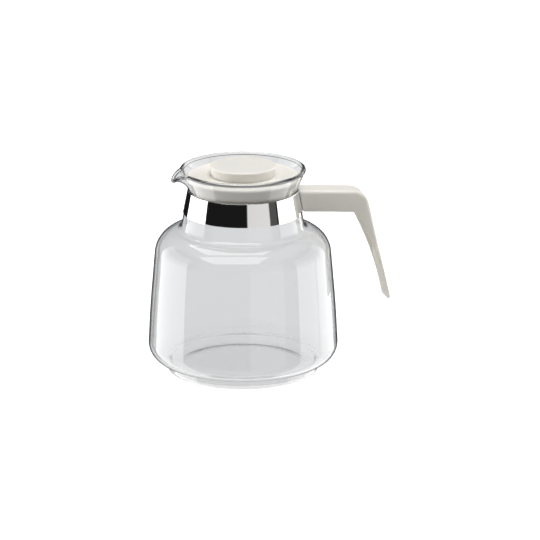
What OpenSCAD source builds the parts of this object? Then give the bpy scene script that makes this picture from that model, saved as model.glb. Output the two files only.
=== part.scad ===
// Coffee server: a blown glass jug with a steel neck band, a moulded handle and a drop-in lid.
// Millimetres, +Z up. The origin is the centre of the foot, on the jug's axis.
// The pouring lip points along -X and the handle along +X.

/* [Glass] */
// Radius of the foot that the jug stands on
foot_r = 55.9; // [53:0.1:57]
// Height of the foot under the round lower corner
foot_h = 6.9; // [5:0.1:8]
// Width of the flat ring under the foot
foot_ring_w = 7; // [5:0.5:10]
// Push-up of the base inside the foot ring
punt_h = 2; // [1:0.1:3]
// Radius that the lower corner would reach if it were sharp
base_r = 71; // [69:0.1:74]
// Radius of curvature of the round lower corner
base_round = 13.8; // [9:0.1:14.5]
// Outer radius half way up the wall
wall_r = 68.7; // [67.5:0.1:70]
// Height of that half-way point
wall_z = 50.3; // [40:0.1:60]
// Radius of curvature of the wall's slight bow
wall_bow = 670; // [300:10:1500]
// Radius that the shoulder's corner would reach if it were sharp
shoulder_r = 64; // [61:0.1:66]
// Height of that corner
shoulder_z = 104.3; // [98:0.1:108]
// Radius of curvature of the shoulder
shoulder_round = 19.4; // [10:0.1:20]
// Rise of the shoulder's top towards the neck
shoulder_rise = 3.5; // [2:0.1:6]
// Outer radius at the neck's root
neck_r = 46; // [44:0.1:48]
// Outer radius at the throat, the narrowest place
throat_r = 40.2; // [38:0.1:42]
// Height of the neck, from its root on the shoulder up to the throat
neck_h = 29.5; // [27:0.1:34]
// Radius to the middle of the rim's bead
rim_r = 45; // [44:0.1:47]
// Height of the flare, from the throat up to the middle of the rim's bead
flare_h = 15; // [13:0.1:19]
// Radius of the fire-polished bead on the rim
rim_bead = 1.5; // [1.2:0.05:2]
// Thickness of the glass
glass_t = 2.2; // [1.6:0.1:2.3]

/* [Pouring lip] */
// How far the lip is drawn out past the round rim
lip_reach = 7.7; // [4:0.1:10]
// How far the lip's tip lies below the rim
lip_drop = 4.9; // [2:0.1:7]
// Angle on each side over which the rim is drawn into the lip
lip_half = 28; // [20:1:34]

/* [Neck band] */
// Height of the steel band
band_h = 17; // [13:0.1:18]
// Thickness of the band's sheet
band_t = 0.5; // [0.4:0.05:0.8]
// Distance from the throat down to the band's top edge
band_drop = 0.2; // [0.1:0.1:2]
// Gap between the band and the glass
band_gap = 0.1; // [0.05:0.01:0.2]

/* [Handle] */
// Width of the handle
handle_w = 20; // [18:0.5:24]
// Height of the arm
arm_h = 16; // [14:0.1:17]
// Distance from the band's top edge down to the arm's top where it meets the band
arm_drop = 1.3; // [0.5:0.1:2]
// Slope of the arm below level
arm_droop = 4.6; // [2:0.1:8]
// Reach of the bend's sharp outer corner from the jug's axis
bend_x = 92.2; // [88:0.1:98]
// Radius of curvature of the bend's outside
bend_round = 12; // [8:0.1:15]
// Lean of the leg away from upright
leg_lean = 12.9; // [8:0.1:18]
// Drop of the leg from the bend's corner to its tip
leg_drop = 83.8; // [75:0.1:90]
// Thickness of the moulding's web
web_t = 2; // [1.6:0.1:2.6]
// Thickness of the side flanges
flange_t = 2.2; // [1.8:0.1:3]
// Rounding of the long outer edges
edge_round = 1.6; // [1:0.1:1.9]
// Distance from the bend's sharp outer corner back to the sharp inner one
bend_depth = 7.7; // [6:0.1:10]
// Radius of curvature of that inner corner
palm_round = 8; // [5:0.1:10]
// Lean of the flange edges where they leave the inner corner
flange_lean = 27.3; // [25:0.1:30]
// Radius of curvature with which the flanges run out into the leg
flange_sweep = 230; // [150:5:260]
// Length of the solid root that holds the clamp
root_l = 18; // [16:0.5:24]

/* [Clamp] */
// Diameter of the screw's shank
screw_d = 4; // [3:0.5:4]
// Length of the shank
screw_l = 14; // [13:0.5:15]
// Diameter of the screw's head
head_d = 7.6; // [7:0.1:8]
// Height of the head
head_h = 2.6; // [2:0.1:3]
// Width across the square nut
nut_w = 7; // [6.5:0.1:7.5]
// Thickness of the nut
nut_t = 2.2; // [2:0.1:3]
// Distance from the band out to the screw's axis
screw_reach = 9; // [8:0.1:10]
// Clearance round the screw, the nut and the band's ears
clamp_gap = 0.1; // [0.05:0.01:0.2]
// Distance between the band's two ears
ear_gap = 1; // [0.6:0.1:1.6]
// Height of the ears
ear_h = 11; // [9:0.1:12]

/* [Lid] */
// Depth of the lid's flat top below the rim's middle
lid_sink = 4; // [3:0.1:6]
// Gap between the lid's cone and the flare that carries it
seat_gap = 0.3; // [0.2:0.05:0.5]
// Rounding of the lid's top edge
lid_round = 1.6; // [1:0.1:2]
// Thickness of the lid's walls
lid_t = 2; // [1.6:0.1:2.4]
// Height of the lid's cone, from its top down to the skirt
cone_h = 9.6; // [8:0.1:10]
// Gap between the skirt and the throat that it passes through
skirt_gap = 0.8; // [0.5:0.1:1.5]
// Length of the skirt below the cone
skirt_h = 14; // [8:0.5:16]

/* [Knob] */
// Radius of the knob's top
knob_r = 24.9; // [20:0.1:27]
// Height of the knob above the lid's flat top
knob_h = 7.6; // [5:0.1:9]
// How much narrower the knob is at its foot, for the fingertips
knob_waist = 1.6; // [0.5:0.1:2]
// Rounding of the knob's top edge
knob_round = 1.2; // [0.6:0.1:1.6]
// Thickness of the knob's shell
knob_t = 1.8; // [1.4:0.1:2.2]
// Gap between the knob's shell and the lid's spigot
knob_gap = 0.15; // [0.1:0.05:0.3]

/* [Hidden] */
$fn = 96;
// How far every cut runs past the face it opens
overrun = 1;
// Largest turn between two points of an arc, in degrees
arc_step = 9;
// Points closer than this are one point
hair = 0.001;

glass_colour = [0.86, 0.9, 0.89, 0.35];
steel_colour = [0.8, 0.8, 0.81];
plastic_colour = [0.9, 0.88, 0.83];
zinc_colour = [0.62, 0.63, 0.65];

// Glass: small radii and the points of its outline
foot_round = 2;
foot_draft = 0.4;
notch_round = 1;
base_rise = 0.7;
neck_round = 5;
throat_round = 2.5;
least_round = 0.4;
punt_slope_w = 9;
punt_round = 30;
ring_round = 6;

// Turns a vector in the plane by an angle
function turned(v, a) = [v.x * cos(a) - v.y * sin(a), v.x * sin(a) + v.y * cos(a)];
function unit(v) = v / norm(v);
function left_of(v) = [-v.y, v.x];
function flat(p) = [p.x, p.y];
function clamped(v) = max(-1, min(1, v));
function reversed(list) = [for (i = [len(list) - 1:-1:0]) list[i]];
// Where the line through p along u meets the line through q along v
function meeting(p, u, q, v) = p + u * cross(q - p, v) / cross(u, v);

// A path is a list of corners [x, y, radius]; its ends have no radius
function along(path, i) = unit(flat(path[i + 1]) - flat(path[i]));
function leg(path, i) = norm(flat(path[i + 1]) - flat(path[i]));
function corner(path, i) = i > 0 && i < len(path) - 1;
// Signed turn at a corner, positive to the left
function turn(path, i) =
    let (u = along(path, i - 1), v = along(path, i))
    sign(cross(u, v)) * acos(clamped(u * v));
function has_round(path, i) = corner(path, i) && len(path[i]) > 2;
function tangent(path, i) = has_round(path, i) ? path[i][2] * tan(abs(turn(path, i)) / 2) : 0;
// A tangent no longer than the straight that it shares with the next corner's
function share_of_leg(path, i, j) =
    let (both = tangent(path, i) + tangent(path, j))
    both > leg(path, min(i, j)) ? leg(path, min(i, j)) / both : 1;
function fitted(path, i) =
    tangent(path, i) * min(share_of_leg(path, i, i - 1), share_of_leg(path, i, i + 1));
function arc_points(path, i, steps = 0) =
    let (
        p = flat(path[i]),
        a = turn(path, i),
        t = fitted(path, i),
        start = p - along(path, i - 1) * t,
        r = t / tan(abs(a) / 2),
        centre = start + left_of(along(path, i - 1)) * r * sign(a),
        n = steps > 0 ? steps : max(1, ceil(abs(a) / arc_step))
    )
    [for (k = [0:n]) centre + turned(start - centre, a * k / n)];
function all_points(path) =
    [for (i = [0:len(path) - 1])
        each has_round(path, i) ? arc_points(path, i) : [flat(path[i])]];
function rounded(path) =
    let (points = all_points(path))
    [for (i = [0:len(points) - 1])
        if (i == 0 || norm(points[i] - points[i - 1]) > hair) points[i]];

// The same path, moved to its left by t
function inset_corner(path, i, t) =
    let (
        a = left_of(along(path, max(i - 1, 0))),
        b = left_of(along(path, min(i, len(path) - 2))),
        p = flat(path[i]) + (a + b) * t / (1 + a * b)
    )
    corner(path, i)
        ? [p.x, p.y, max(least_round, path[i][2] - sign(turn(path, i)) * t)]
        : p;
function inset(path, t) = [for (i = [0:len(path) - 1]) inset_corner(path, i, t)];

// Neck and flare: its direction from the throat to the rim's bead
neck_root = [neck_r, shoulder_z + shoulder_rise];
throat_z = neck_root.y + neck_h;
rim_z = throat_z + flare_h;
throat = [throat_r, throat_z];
rim = [rim_r, rim_z];
flare_dir = turned(unit(rim - throat), -asin(glass_t / 2 / norm(rim - throat)));
flare_end = rim - left_of(flare_dir) * glass_t / 2;

outer_path = [
    [0, punt_h],
    [foot_r - foot_ring_w - punt_slope_w, punt_h, punt_round],
    [foot_r - foot_ring_w, 0, ring_round],
    [foot_r, 0, foot_round],
    [foot_r + foot_draft, foot_h, notch_round],
    [base_r, foot_h + base_rise, base_round],
    [wall_r, wall_z, wall_bow],
    [shoulder_r, shoulder_z, shoulder_round],
    [neck_root.x, neck_root.y, neck_round],
    [throat_r, throat_z, throat_round],
    flare_end,
];
inner_path = inset(outer_path, glass_t);
throat_in = flat(inner_path[len(inner_path) - 2]);

// Radius of the neck's outside, and of the flare's inside, at a height
function neck_out(z) = neck_r + (throat_r - neck_r) * (z - neck_root.y) / neck_h;
function flare_in(z) = throat_in.x + (z - throat_in.y) * flare_dir.x / flare_dir.y;

// The jug is turned up to the foot of the flare. The rim above it is one ring, drawn out into the lip.
lip_start_share = 0.14;
lip_z = throat_z + flare_h * lip_start_share;
lip_foot = meeting(rim, flare_dir, [0, lip_z], [1, 0]);
flare_foot = [glass_t / 2 / flare_dir.y, 0];
glass_outline = concat(
    [for (p = rounded(outer_path)) if (p.y < lip_z) p],
    [lip_foot + flare_foot, lip_foot - flare_foot],
    reversed([for (p = rounded(inner_path)) if (p.y < lip_z) p])
);

// Pouring lip: the flare's middle line, pulled out and down more and more towards the rim
lip_rows = 5;
lip_last_share = 0.88;
lip_columns = 30;
ring_columns = 44;
lip_crowding = 1.3;
lip_curl = 2.1;
lip_dip = 3.2;
lip_taper = 3;
lip_nod = 1.5;
// How far the lip's cheeks rise above the round rim
lip_cheek = 0.7;
// The ring's foot keeps this far inside the edges of the wall that it grows from
ring_inset = 0.1;
bead_steps = 10;
function lip_pull(a) = abs(a) < lip_half ? pow((1 + cos(180 * a / lip_half)) / 2, lip_taper) : 0;
function lip_out(a) = lip_reach * lip_pull(a);
function lip_up(a) = 4 * lip_cheek * lip_pull(a) * (1 - lip_pull(a)) - lip_drop * pow(lip_pull(a), lip_nod);
function lip_mid(a, s) =
    lip_foot + (rim - lip_foot) * s + [lip_out(a) * pow(s, lip_curl), lip_up(a) * pow(s, lip_dip)];
function lip_dir(a, s) =
    unit(rim - lip_foot
        + [lip_out(a) * lip_curl * pow(s, lip_curl - 1), lip_up(a) * lip_dip * pow(s, lip_dip - 1)]);
function lip_side(a, side) =
    [for (k = [1:lip_rows])
        let (s = lip_last_share * k / lip_rows)
        lip_mid(a, s) + left_of(lip_dir(a, s)) * side * glass_t / 2];
// Round bead on the end of a wall that runs in direction e to the point c
function bead(c, e) =
    let (start = 180 - asin(glass_t / 2 / rim_bead))
    [for (k = [0:bead_steps])
        let (t = start * (1 - 2 * k / bead_steps))
        c + rim_bead * (cos(t) * e - sin(t) * left_of(e))];
function rim_section(a) = concat(
    [lip_foot + flare_foot - [ring_inset, 0]],
    lip_side(a, -1),
    bead(lip_mid(a, 1), lip_dir(a, 1)),
    reversed(lip_side(a, 1)),
    [lip_foot - flare_foot + [ring_inset, 0]]
);
rim_angles = concat(
    [for (i = [0:lip_columns - 1])
        let (t = 2 * i / lip_columns - 1)
        lip_half * sign(t) * pow(abs(t), lip_crowding)],
    [for (i = [0:ring_columns - 1]) lip_half + (360 - 2 * lip_half) * i / ring_columns]
);

// Solid through a row of like loops; each runs anticlockwise for an eye that looks along the row
module loft(loops) {
    n = len(loops[0]);
    last = len(loops) - 1;
    polyhedron(
        points = [for (loop = loops) each loop],
        faces = concat(
            [[for (j = [n - 1:-1:0]) j]],
            [for (i = [0:last - 1], j = [0:n - 1])
                [i * n + j, i * n + (j + 1) % n, (i + 1) * n + (j + 1) % n, (i + 1) * n + j]],
            [[for (j = [0:n - 1]) last * n + j]]
        ),
        convexity = 4
    );
}

// Closed ring through a row of like loops
module loft_ring(loops) {
    n = len(loops[0]);
    m = len(loops);
    polyhedron(
        points = [for (loop = loops) each loop],
        faces = [for (i = [0:m - 1], j = [0:n - 1])
            let (k = (i + 1) % m)
            [i * n + j, i * n + (j + 1) % n, k * n + (j + 1) % n, k * n + j]],
        convexity = 4
    );
}

module glass_jug() {
    color(glass_colour) {
        rotate_extrude()
            polygon(glass_outline);
        loft_ring([
            for (a = rim_angles)
                [for (p = rim_section(a)) [p.x * cos(180 + a), p.x * sin(180 + a), p.y]]
        ]);
    }
}

// Band: a strip of sheet that follows the neck's cone, with two ears folded out at the handle
band_top = throat_z - band_drop;
band_foot = band_top - band_h;
function band_in(z) = neck_out(z) + band_gap;
function band_out(z) = band_in(z) + band_t;
ear_past_screw = 4;
ear_face = ear_gap / 2 + band_t;

// Handle: the arm's top line in the side view, X to the right and Z up
arm_dir = [cos(arm_droop), -sin(arm_droop)];
arm_up = left_of(arm_dir);
arm_start = [band_out(band_top - arm_drop), band_top - arm_drop];
function arm_top(x) = arm_start.y - (x - arm_start.x) * tan(arm_droop);
screw_x = arm_start.x + screw_reach;
screw_z = arm_top(screw_x) - arm_h / 2;

// A round bar along Y on the screw's axis, from y = a to y = b
module on_screw_axis(r, a, b) {
    translate([screw_x, a, screw_z])
        rotate([-90, 0, 0])
            cylinder(r = r, h = b - a, $fn = 48);
}

// A box from one corner to the opposite one
module box(low, high) {
    translate(low)
        cube(high - low);
}

// An ear starts inside the band's sheet, along the neck's slope
module ear(side) {
    low = screw_z - ear_h / 2;
    high = screw_z + ear_h / 2;
    translate([0, side * (ear_gap + band_t) / 2 + band_t / 2, 0])
        rotate([90, 0, 0])
            linear_extrude(height = band_t)
                polygon([
                    [band_in(low) + band_t / 2, low],
                    [screw_x + ear_past_screw, low],
                    [screw_x + ear_past_screw, high],
                    [band_in(high) + band_t / 2, high],
                ]);
}

module neck_band() {
    color(steel_colour)
        difference() {
            union() {
                difference() {
                    rotate_extrude()
                        polygon([
                            [band_in(band_foot), band_foot],
                            [band_out(band_foot), band_foot],
                            [band_out(band_top), band_top],
                            [band_in(band_top), band_top],
                        ]);
                    box(
                        [0, -ear_gap / 2, band_foot - overrun],
                        [2 * neck_r, ear_gap / 2, band_top + overrun]
                    );
                }
                ear(1);
                ear(-1);
            }
            on_screw_axis(screw_d / 2 + clamp_gap, -handle_w, handle_w);
        }
}

// Handle: its outer edge and its flange edge
leg_dir = [sin(leg_lean), -cos(leg_lean)];
leg_out = left_of(leg_dir);
bend = [bend_x, arm_top(bend_x)];
tip = bend + leg_dir * leg_drop / cos(leg_lean);
tip_in = tip - leg_out * web_t;
arm_tail = arm_start - arm_dir * arm_h;
outer_edge = [arm_tail, [bend.x, bend.y, bend_round], tip];

palm_x = bend_x - bend_depth;
palm = [palm_x, arm_top(palm_x) - arm_h / cos(arm_droop)];
flange_dir = [sin(flange_lean), -cos(flange_lean)];
run_out = meeting(palm, flange_dir, tip_in, leg_dir);
flange_edge = [
    arm_tail - arm_up * arm_h,
    [palm.x, palm.y, palm_round],
    [run_out.x, run_out.y, flange_sweep],
    tip_in,
];

// A station across the moulding: point on the outer edge, direction outwards, point on the flange edge
bend_steps = 12;
sweep_steps = 8;
bend_arc = arc_points(outer_edge, 1, bend_steps);
palm_arc = arc_points(flange_edge, 1, bend_steps);
function on_arm(p) = [p, arm_up, p - arm_up * arm_h];
function on_leg(p) = [tip + leg_dir * ((p - tip) * leg_dir), leg_out, p];
bend_stations = [
    for (k = [0:bend_steps])
        [bend_arc[k], turned(arm_up, turn(outer_edge, 1) * k / bend_steps), palm_arc[k]]
];
leg_stations = [for (p = arc_points(flange_edge, 2, sweep_steps)) on_leg(p)];
root_end = arm_start + arm_dir * root_l;

// Corners and flanges of the moulding, in the section across it
corner_steps = 5;
edge_share = 0.9;
edge_r = min(edge_round, edge_share * web_t);
channel_half = handle_w / 2 - flange_t;
channel_fillet = 0.8;
function at_side(p, y) = [p.x, y, p.y];
function edge_corner(s, side) =
    [for (k = [0:corner_steps])
        let (t = 90 * (side < 0 ? k : corner_steps - k) / corner_steps)
        at_side(s[0] - s[1] * edge_r * (1 - sin(t)), side * (handle_w / 2 - edge_r * (1 - cos(t))))];
function solid_section(s) = concat(
    [at_side(s[2], -handle_w / 2)],
    edge_corner(s, -1),
    edge_corner(s, 1),
    [at_side(s[2], handle_w / 2)]
);
function channel_section(s) =
    let (
        bottom = s[0] - s[1] * web_t,
        eased = bottom - s[1] * channel_fillet,
        mouth = s[2] + unit(s[2] - s[0]) * overrun
    )
    [
        at_side(mouth, -channel_half),
        at_side(eased, -channel_half),
        at_side(bottom, channel_fillet - channel_half),
        at_side(bottom, channel_half - channel_fillet),
        at_side(eased, channel_half),
        at_side(mouth, channel_half),
    ];

// Clamp: the head lies sunk in the far side of the root, the nut in a pocket that opens downwards
root_gap = 0.1;
head_sink = 0.6;
head_seat = handle_w / 2 - head_h - head_sink;
shank_tip = head_seat - screw_l;
shank_past_nut = 1.7;
nut_low = shank_tip + shank_past_nut;
head_gap = 0.3;

module root_cuts() {
    cone_foot = band_foot - arm_h;
    cone_top = band_top + arm_h;
    translate([0, 0, cone_foot])
        cylinder(
            r1 = band_out(cone_foot) + root_gap,
            r2 = band_out(cone_top) + root_gap,
            h = cone_top - cone_foot,
            $fn = 128
        );
    box(
        [0, -ear_face - clamp_gap, screw_z - ear_h / 2 - clamp_gap],
        [screw_x + ear_past_screw + clamp_gap, ear_face + clamp_gap, screw_z + ear_h / 2 + clamp_gap]
    );
    on_screw_axis(screw_d / 2 + clamp_gap, shank_tip - clamp_gap, handle_w);
    on_screw_axis(head_d / 2 + head_gap, head_seat, handle_w);
    box(
        [screw_x - nut_w / 2 - clamp_gap, nut_low - clamp_gap, screw_z - arm_h],
        [screw_x + nut_w / 2 + clamp_gap, nut_low + nut_t + clamp_gap, screw_z + nut_w / 2 + clamp_gap]
    );
}

module handle() {
    color(plastic_colour)
        difference() {
            loft([
                for (s = concat([on_arm(arm_tail)], bend_stations, leg_stations, [on_leg(tip_in)]))
                    solid_section(s)
            ]);
            loft([
                for (s = concat([on_arm(root_end)], bend_stations, leg_stations))
                    if (norm(s[2] - s[0]) > web_t + channel_fillet / 2) channel_section(s)
            ]);
            root_cuts();
        }
}

// Screw: a flat domed head with a cross recess, and a plain shank
recess_w = 1;
recess_l = 4.6;
recess_depth_share = 0.6;
shank_chamfer = 0.6;
dome_share = 0.6;

module clamp_screw() {
    color(zinc_colour)
        translate([screw_x, head_seat, screw_z])
            rotate([-90, 0, 0])
                difference() {
                    union() {
                        rotate_extrude()
                            polygon(rounded([
                                [0, 0],
                                [head_d / 2, 0],
                                [head_d / 2, head_h, head_h * dome_share],
                                [0, head_h],
                            ]));
                        translate([0, 0, shank_chamfer - screw_l])
                            cylinder(d = screw_d, h = screw_l, $fn = 48);
                        translate([0, 0, -screw_l])
                            cylinder(
                                d1 = screw_d - 2 * shank_chamfer,
                                d2 = screw_d,
                                h = shank_chamfer,
                                $fn = 48
                            );
                    }
                    for (a = [0, 90])
                        rotate([0, 0, a])
                            box(
                                [-recess_l / 2, -recess_w / 2, head_h * (1 - recess_depth_share)],
                                [recess_l / 2, recess_w / 2, head_h + overrun]
                            );
                }
}

nut_corner_share = 0.66;
thread_gap = 0.05;

module clamp_nut() {
    color(zinc_colour)
        difference() {
            intersection() {
                box(
                    [screw_x - nut_w / 2, nut_low, screw_z - nut_w / 2],
                    [screw_x + nut_w / 2, nut_low + nut_t, screw_z + nut_w / 2]
                );
                on_screw_axis(nut_w * nut_corner_share, nut_low - overrun, nut_low + nut_t + overrun);
            }
            on_screw_axis(screw_d / 2 + thread_gap, -handle_w, 0);
        }
}

// Lid: its cone follows the flare at the seat gap, its skirt hangs in the neck
lid_z = rim_z - lid_sink;
function lid_cone(z, depth) = flare_in(z) - (seat_gap + depth) / flare_dir.y;
cone_foot = lid_z - cone_h;
cone_step = 0.6;
skirt_r = throat_in.x - skirt_gap;
skirt_foot = cone_foot - cone_step - skirt_h;
skirt_draft = 0.4;
skirt_in = skirt_r - lid_t;
step_round = 0.5;
lid_inner_round = 1.2;
// Height at which the cone's inner face meets the skirt's
inner_step_z = throat_in.y + (skirt_in - lid_cone(throat_in.y, lid_t)) * flare_dir.y / flare_dir.x;
lid_outline = concat(
    rounded([
        [0, lid_z],
        [lid_cone(lid_z, 0), lid_z, lid_round],
        [lid_cone(cone_foot, 0), cone_foot, step_round],
        [skirt_r, cone_foot - cone_step, step_round],
        [skirt_r - skirt_draft, skirt_foot],
    ]),
    rounded([
        [skirt_in - skirt_draft, skirt_foot],
        [skirt_in, inner_step_z, lid_inner_round],
        [lid_cone(lid_z - lid_t, lid_t), lid_z - lid_t, lid_inner_round],
        [0, lid_z - lid_t],
    ])
);

// Spigot on the lid, with a bead that snaps into a groove inside the knob
knob_in = knob_r - knob_waist - knob_t;
spigot_r = knob_in - knob_gap;
spigot_t = 1.6;
spigot_h = knob_h - knob_t - knob_gap;
snap_r = 0.5;
snap_out = 0.35;
snap_z = lid_z + spigot_h / 2;

module snap_ring(r) {
    rotate_extrude()
        translate([spigot_r - snap_r + snap_out, snap_z])
            circle(r = r, $fn = 24);
}

module lid_body() {
    color(plastic_colour) {
        rotate_extrude()
            polygon(lid_outline);
        rotate_extrude()
            polygon([
                [spigot_r - spigot_t, lid_z],
                [spigot_r, lid_z],
                [spigot_r, lid_z + spigot_h],
                [spigot_r - spigot_t, lid_z + spigot_h],
            ]);
        snap_ring(snap_r);
    }
}

knob_top = lid_z + knob_h;
knob_seat_gap = 0.05;
knob_foot = lid_z + knob_seat_gap;
knob_foot_round = 0.3;
knob_inner_round = 0.8;

module lid_knob() {
    color(plastic_colour)
        difference() {
            rotate_extrude()
                polygon(concat(
                    rounded([
                        [knob_in, knob_foot],
                        [knob_r - knob_waist, knob_foot, knob_foot_round],
                        [knob_r, knob_top, knob_round],
                        [0, knob_top],
                    ]),
                    rounded([
                        [0, knob_top - knob_t],
                        [knob_in, knob_top - knob_t, knob_inner_round],
                        [knob_in, knob_foot],
                    ])
                ));
            snap_ring(snap_r + knob_gap);
        }
}

glass_jug();
neck_band();
handle();
clamp_screw();
clamp_nut();
lid_body();
lid_knob();
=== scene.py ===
import math
import bpy
import numpy as np
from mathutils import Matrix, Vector


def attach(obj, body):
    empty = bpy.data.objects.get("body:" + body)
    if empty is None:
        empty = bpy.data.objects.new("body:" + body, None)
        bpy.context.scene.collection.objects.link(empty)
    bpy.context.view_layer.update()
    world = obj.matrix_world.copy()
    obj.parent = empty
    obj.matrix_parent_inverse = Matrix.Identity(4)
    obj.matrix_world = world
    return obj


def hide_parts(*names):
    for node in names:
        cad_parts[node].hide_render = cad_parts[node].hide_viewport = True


bl_info = {
    "name": "Coffee server",
    "version": (1, 0, 0),
    "blender": (4, 5, 0),
    "location": "View3D > Sidebar > Coffee server",
    "description": "A glass coffee server with a steel neck band, a moulded handle and a drop-in lid",
    "category": "Object",
}

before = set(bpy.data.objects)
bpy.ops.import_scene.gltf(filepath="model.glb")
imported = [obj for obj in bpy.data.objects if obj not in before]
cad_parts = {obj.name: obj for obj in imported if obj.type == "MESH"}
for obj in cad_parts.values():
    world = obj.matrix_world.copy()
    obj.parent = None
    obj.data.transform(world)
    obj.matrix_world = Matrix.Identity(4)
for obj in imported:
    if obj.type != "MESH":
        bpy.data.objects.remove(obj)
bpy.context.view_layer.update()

# Edges that turn more than this stay sharp
SHARP = math.radians(35)
# Points closer than this are one point
HAIR = 1e-6
# How far from a corner the point stands that keeps a straight flat
BESIDE = 0.0003


def length(name, description, default, high=0.5):
    """A size in metres, shown in the scene's own units."""
    return bpy.props.FloatProperty(
        name=name, description=description, default=default, min=0.0, max=high, precision=5, unit="LENGTH",
    )


def angle(name, description, default):
    """An angle whose default is given in degrees, kept in radians and shown in degrees."""
    return bpy.props.FloatProperty(
        name=name, description=description, default=math.radians(default), unit="ROTATION",
    )


def colour(name, description, default):
    """A linear colour."""
    return bpy.props.FloatVectorProperty(
        name=name, description=description, default=default, size=3, min=0.0, max=1.0, subtype="COLOR",
    )


def number(name, description, default, high=10.0, unit="NONE"):
    """A plain number."""
    return bpy.props.FloatProperty(
        name=name, description=description, default=default, min=0.0, max=high, unit=unit,
    )


class JugSizes(bpy.types.PropertyGroup):
    """Sizes of the glass jug."""
    foot_r: length("Foot radius", "Radius of the foot that the jug stands on", 0.0559)
    foot_h: length("Foot height", "Height of the foot under the round lower corner", 0.0069)
    foot_ring_w: length("Foot ring", "Width of the flat ring under the foot", 0.007)
    punt_h: length("Punt", "Push-up of the base inside the foot ring", 0.002)
    base_r: length("Base radius", "Radius of the lower corner if it were sharp", 0.071)
    base_round: length("Base rounding", "Radius of curvature of the lower corner", 0.0138)
    wall_r: length("Wall radius", "Outer radius half way up the wall", 0.0687)
    wall_z: length("Wall height", "Height of the half-way point", 0.0503)
    wall_bow: length("Wall bow", "Radius of curvature of the wall's bow", 0.67, high=3.0)
    shoulder_r: length("Shoulder radius", "Radius of the shoulder's corner if it were sharp", 0.064)
    shoulder_z: length("Shoulder height", "Height of the shoulder's corner", 0.1043)
    shoulder_round: length("Shoulder rounding", "Radius of curvature of the shoulder", 0.0194)
    shoulder_rise: length("Shoulder rise", "Rise of the shoulder's top to the neck", 0.0035)
    neck_r: length("Neck radius", "Outer radius at the neck's root", 0.046)
    throat_r: length("Throat radius", "Outer radius at the narrowest place", 0.0402)
    throat_z: length("Throat height", "Height of the narrowest place", 0.1373)
    rim_r: length("Rim radius", "Radius to the middle of the rim's bead", 0.045)
    rim_z: length("Rim height", "Height of the middle of the rim's bead", 0.1523)
    rim_bead: length("Rim bead", "Radius of the fire-polished bead", 0.00149)
    glass_t: length("Glass thickness", "Thickness of the wall", 0.0022)
    lip_reach: length("Lip reach", "How far the lip is drawn out past the round rim", 0.0077)
    lip_drop: length("Lip drop", "How far the lip's tip lies below the rim", 0.0049)
    lip_half: angle("Lip half angle", "Angle on each side over which the rim is drawn out", 28)


class BandSizes(bpy.types.PropertyGroup):
    """Sizes of the steel neck band."""
    band_h: length("Band height", "Height of the steel band", 0.017)
    band_t: length("Band thickness", "Thickness of the band's sheet", 0.0005)
    band_drop: length("Band drop", "Distance from the throat down to the band's top edge", 0.0002)
    band_gap: length("Band gap", "Gap between the band and the glass", 0.0001)
    ear_gap: length("Ear gap", "Distance between the band's two ears", 0.001)
    ear_h: length("Ear height", "Height of the ears", 0.011)


class HandleSizes(bpy.types.PropertyGroup):
    """Sizes of the moulded handle."""
    handle_w: length("Handle width", "Width of the handle", 0.020)
    arm_h: length("Arm height", "Height of the arm", 0.016)
    arm_drop: length("Arm drop", "From the band's top edge down to the arm's top", 0.0013)
    arm_droop: angle("Arm droop", "Slope of the arm below level", 4.6)
    bend_x: length("Bend reach", "Reach of the bend's sharp outer corner", 0.0922)
    bend_round: length("Bend rounding", "Radius of curvature of the bend's outside", 0.012)
    leg_lean: angle("Leg lean", "Lean of the leg away from upright", 12.9)
    leg_drop: length("Leg drop", "Drop of the leg from the bend's corner to its tip", 0.0838)
    web_t: length("Web thickness", "Thickness of the moulding's web", 0.002)
    flange_t: length("Flange thickness", "Thickness of the side flanges", 0.0022)
    edge_round: length("Edge rounding", "Rounding of the long outer edges", 0.0026)
    palm_x: length("Palm reach", "Reach of the sharp inner corner", 0.0845)
    palm_round: length("Palm rounding", "Radius of curvature of the inner corner", 0.008)
    flange_lean: angle("Flange lean", "Lean of the flange edges at the inner corner", 27.3)
    flange_sweep: length("Flange sweep", "Radius with which the flanges run out", 0.23, high=1.0)
    root_l: length("Root length", "Length of the solid root that holds the clamp", 0.018)
    screw_reach: length("Screw reach", "Distance from the band out to the screw's axis", 0.009)


class LidSizes(bpy.types.PropertyGroup):
    """Sizes of the lid and its knob."""
    lid_sink: length("Lid sink", "Depth of the lid's flat top below the rim's middle", 0.004)
    seat_gap: length("Seat gap", "Gap between the lid's cone and the flare", 0.0003)
    lid_round: length("Lid rounding", "Rounding of the lid's top edge", 0.0016)
    lid_t: length("Lid thickness", "Thickness of the lid's walls", 0.002)
    cone_h: length("Cone height", "Height of the lid's cone", 0.0096)
    skirt_gap: length("Skirt gap", "Gap between the skirt and the throat", 0.0008)
    skirt_h: length("Skirt length", "Length of the skirt below the cone", 0.014)
    knob_r: length("Knob radius", "Radius of the knob's top", 0.0249)
    knob_h: length("Knob height", "Height of the knob above the lid", 0.0076)
    knob_waist: length("Knob waist", "How much narrower the knob is at its foot", 0.0016)
    knob_round: length("Knob rounding", "Rounding of the knob's top edge", 0.0012)
    knob_t: length("Knob thickness", "Thickness of the knob's shell", 0.0018)
    knob_gap: length("Knob gap", "Gap between the knob and the lid's spigot", 0.00015)


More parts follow.
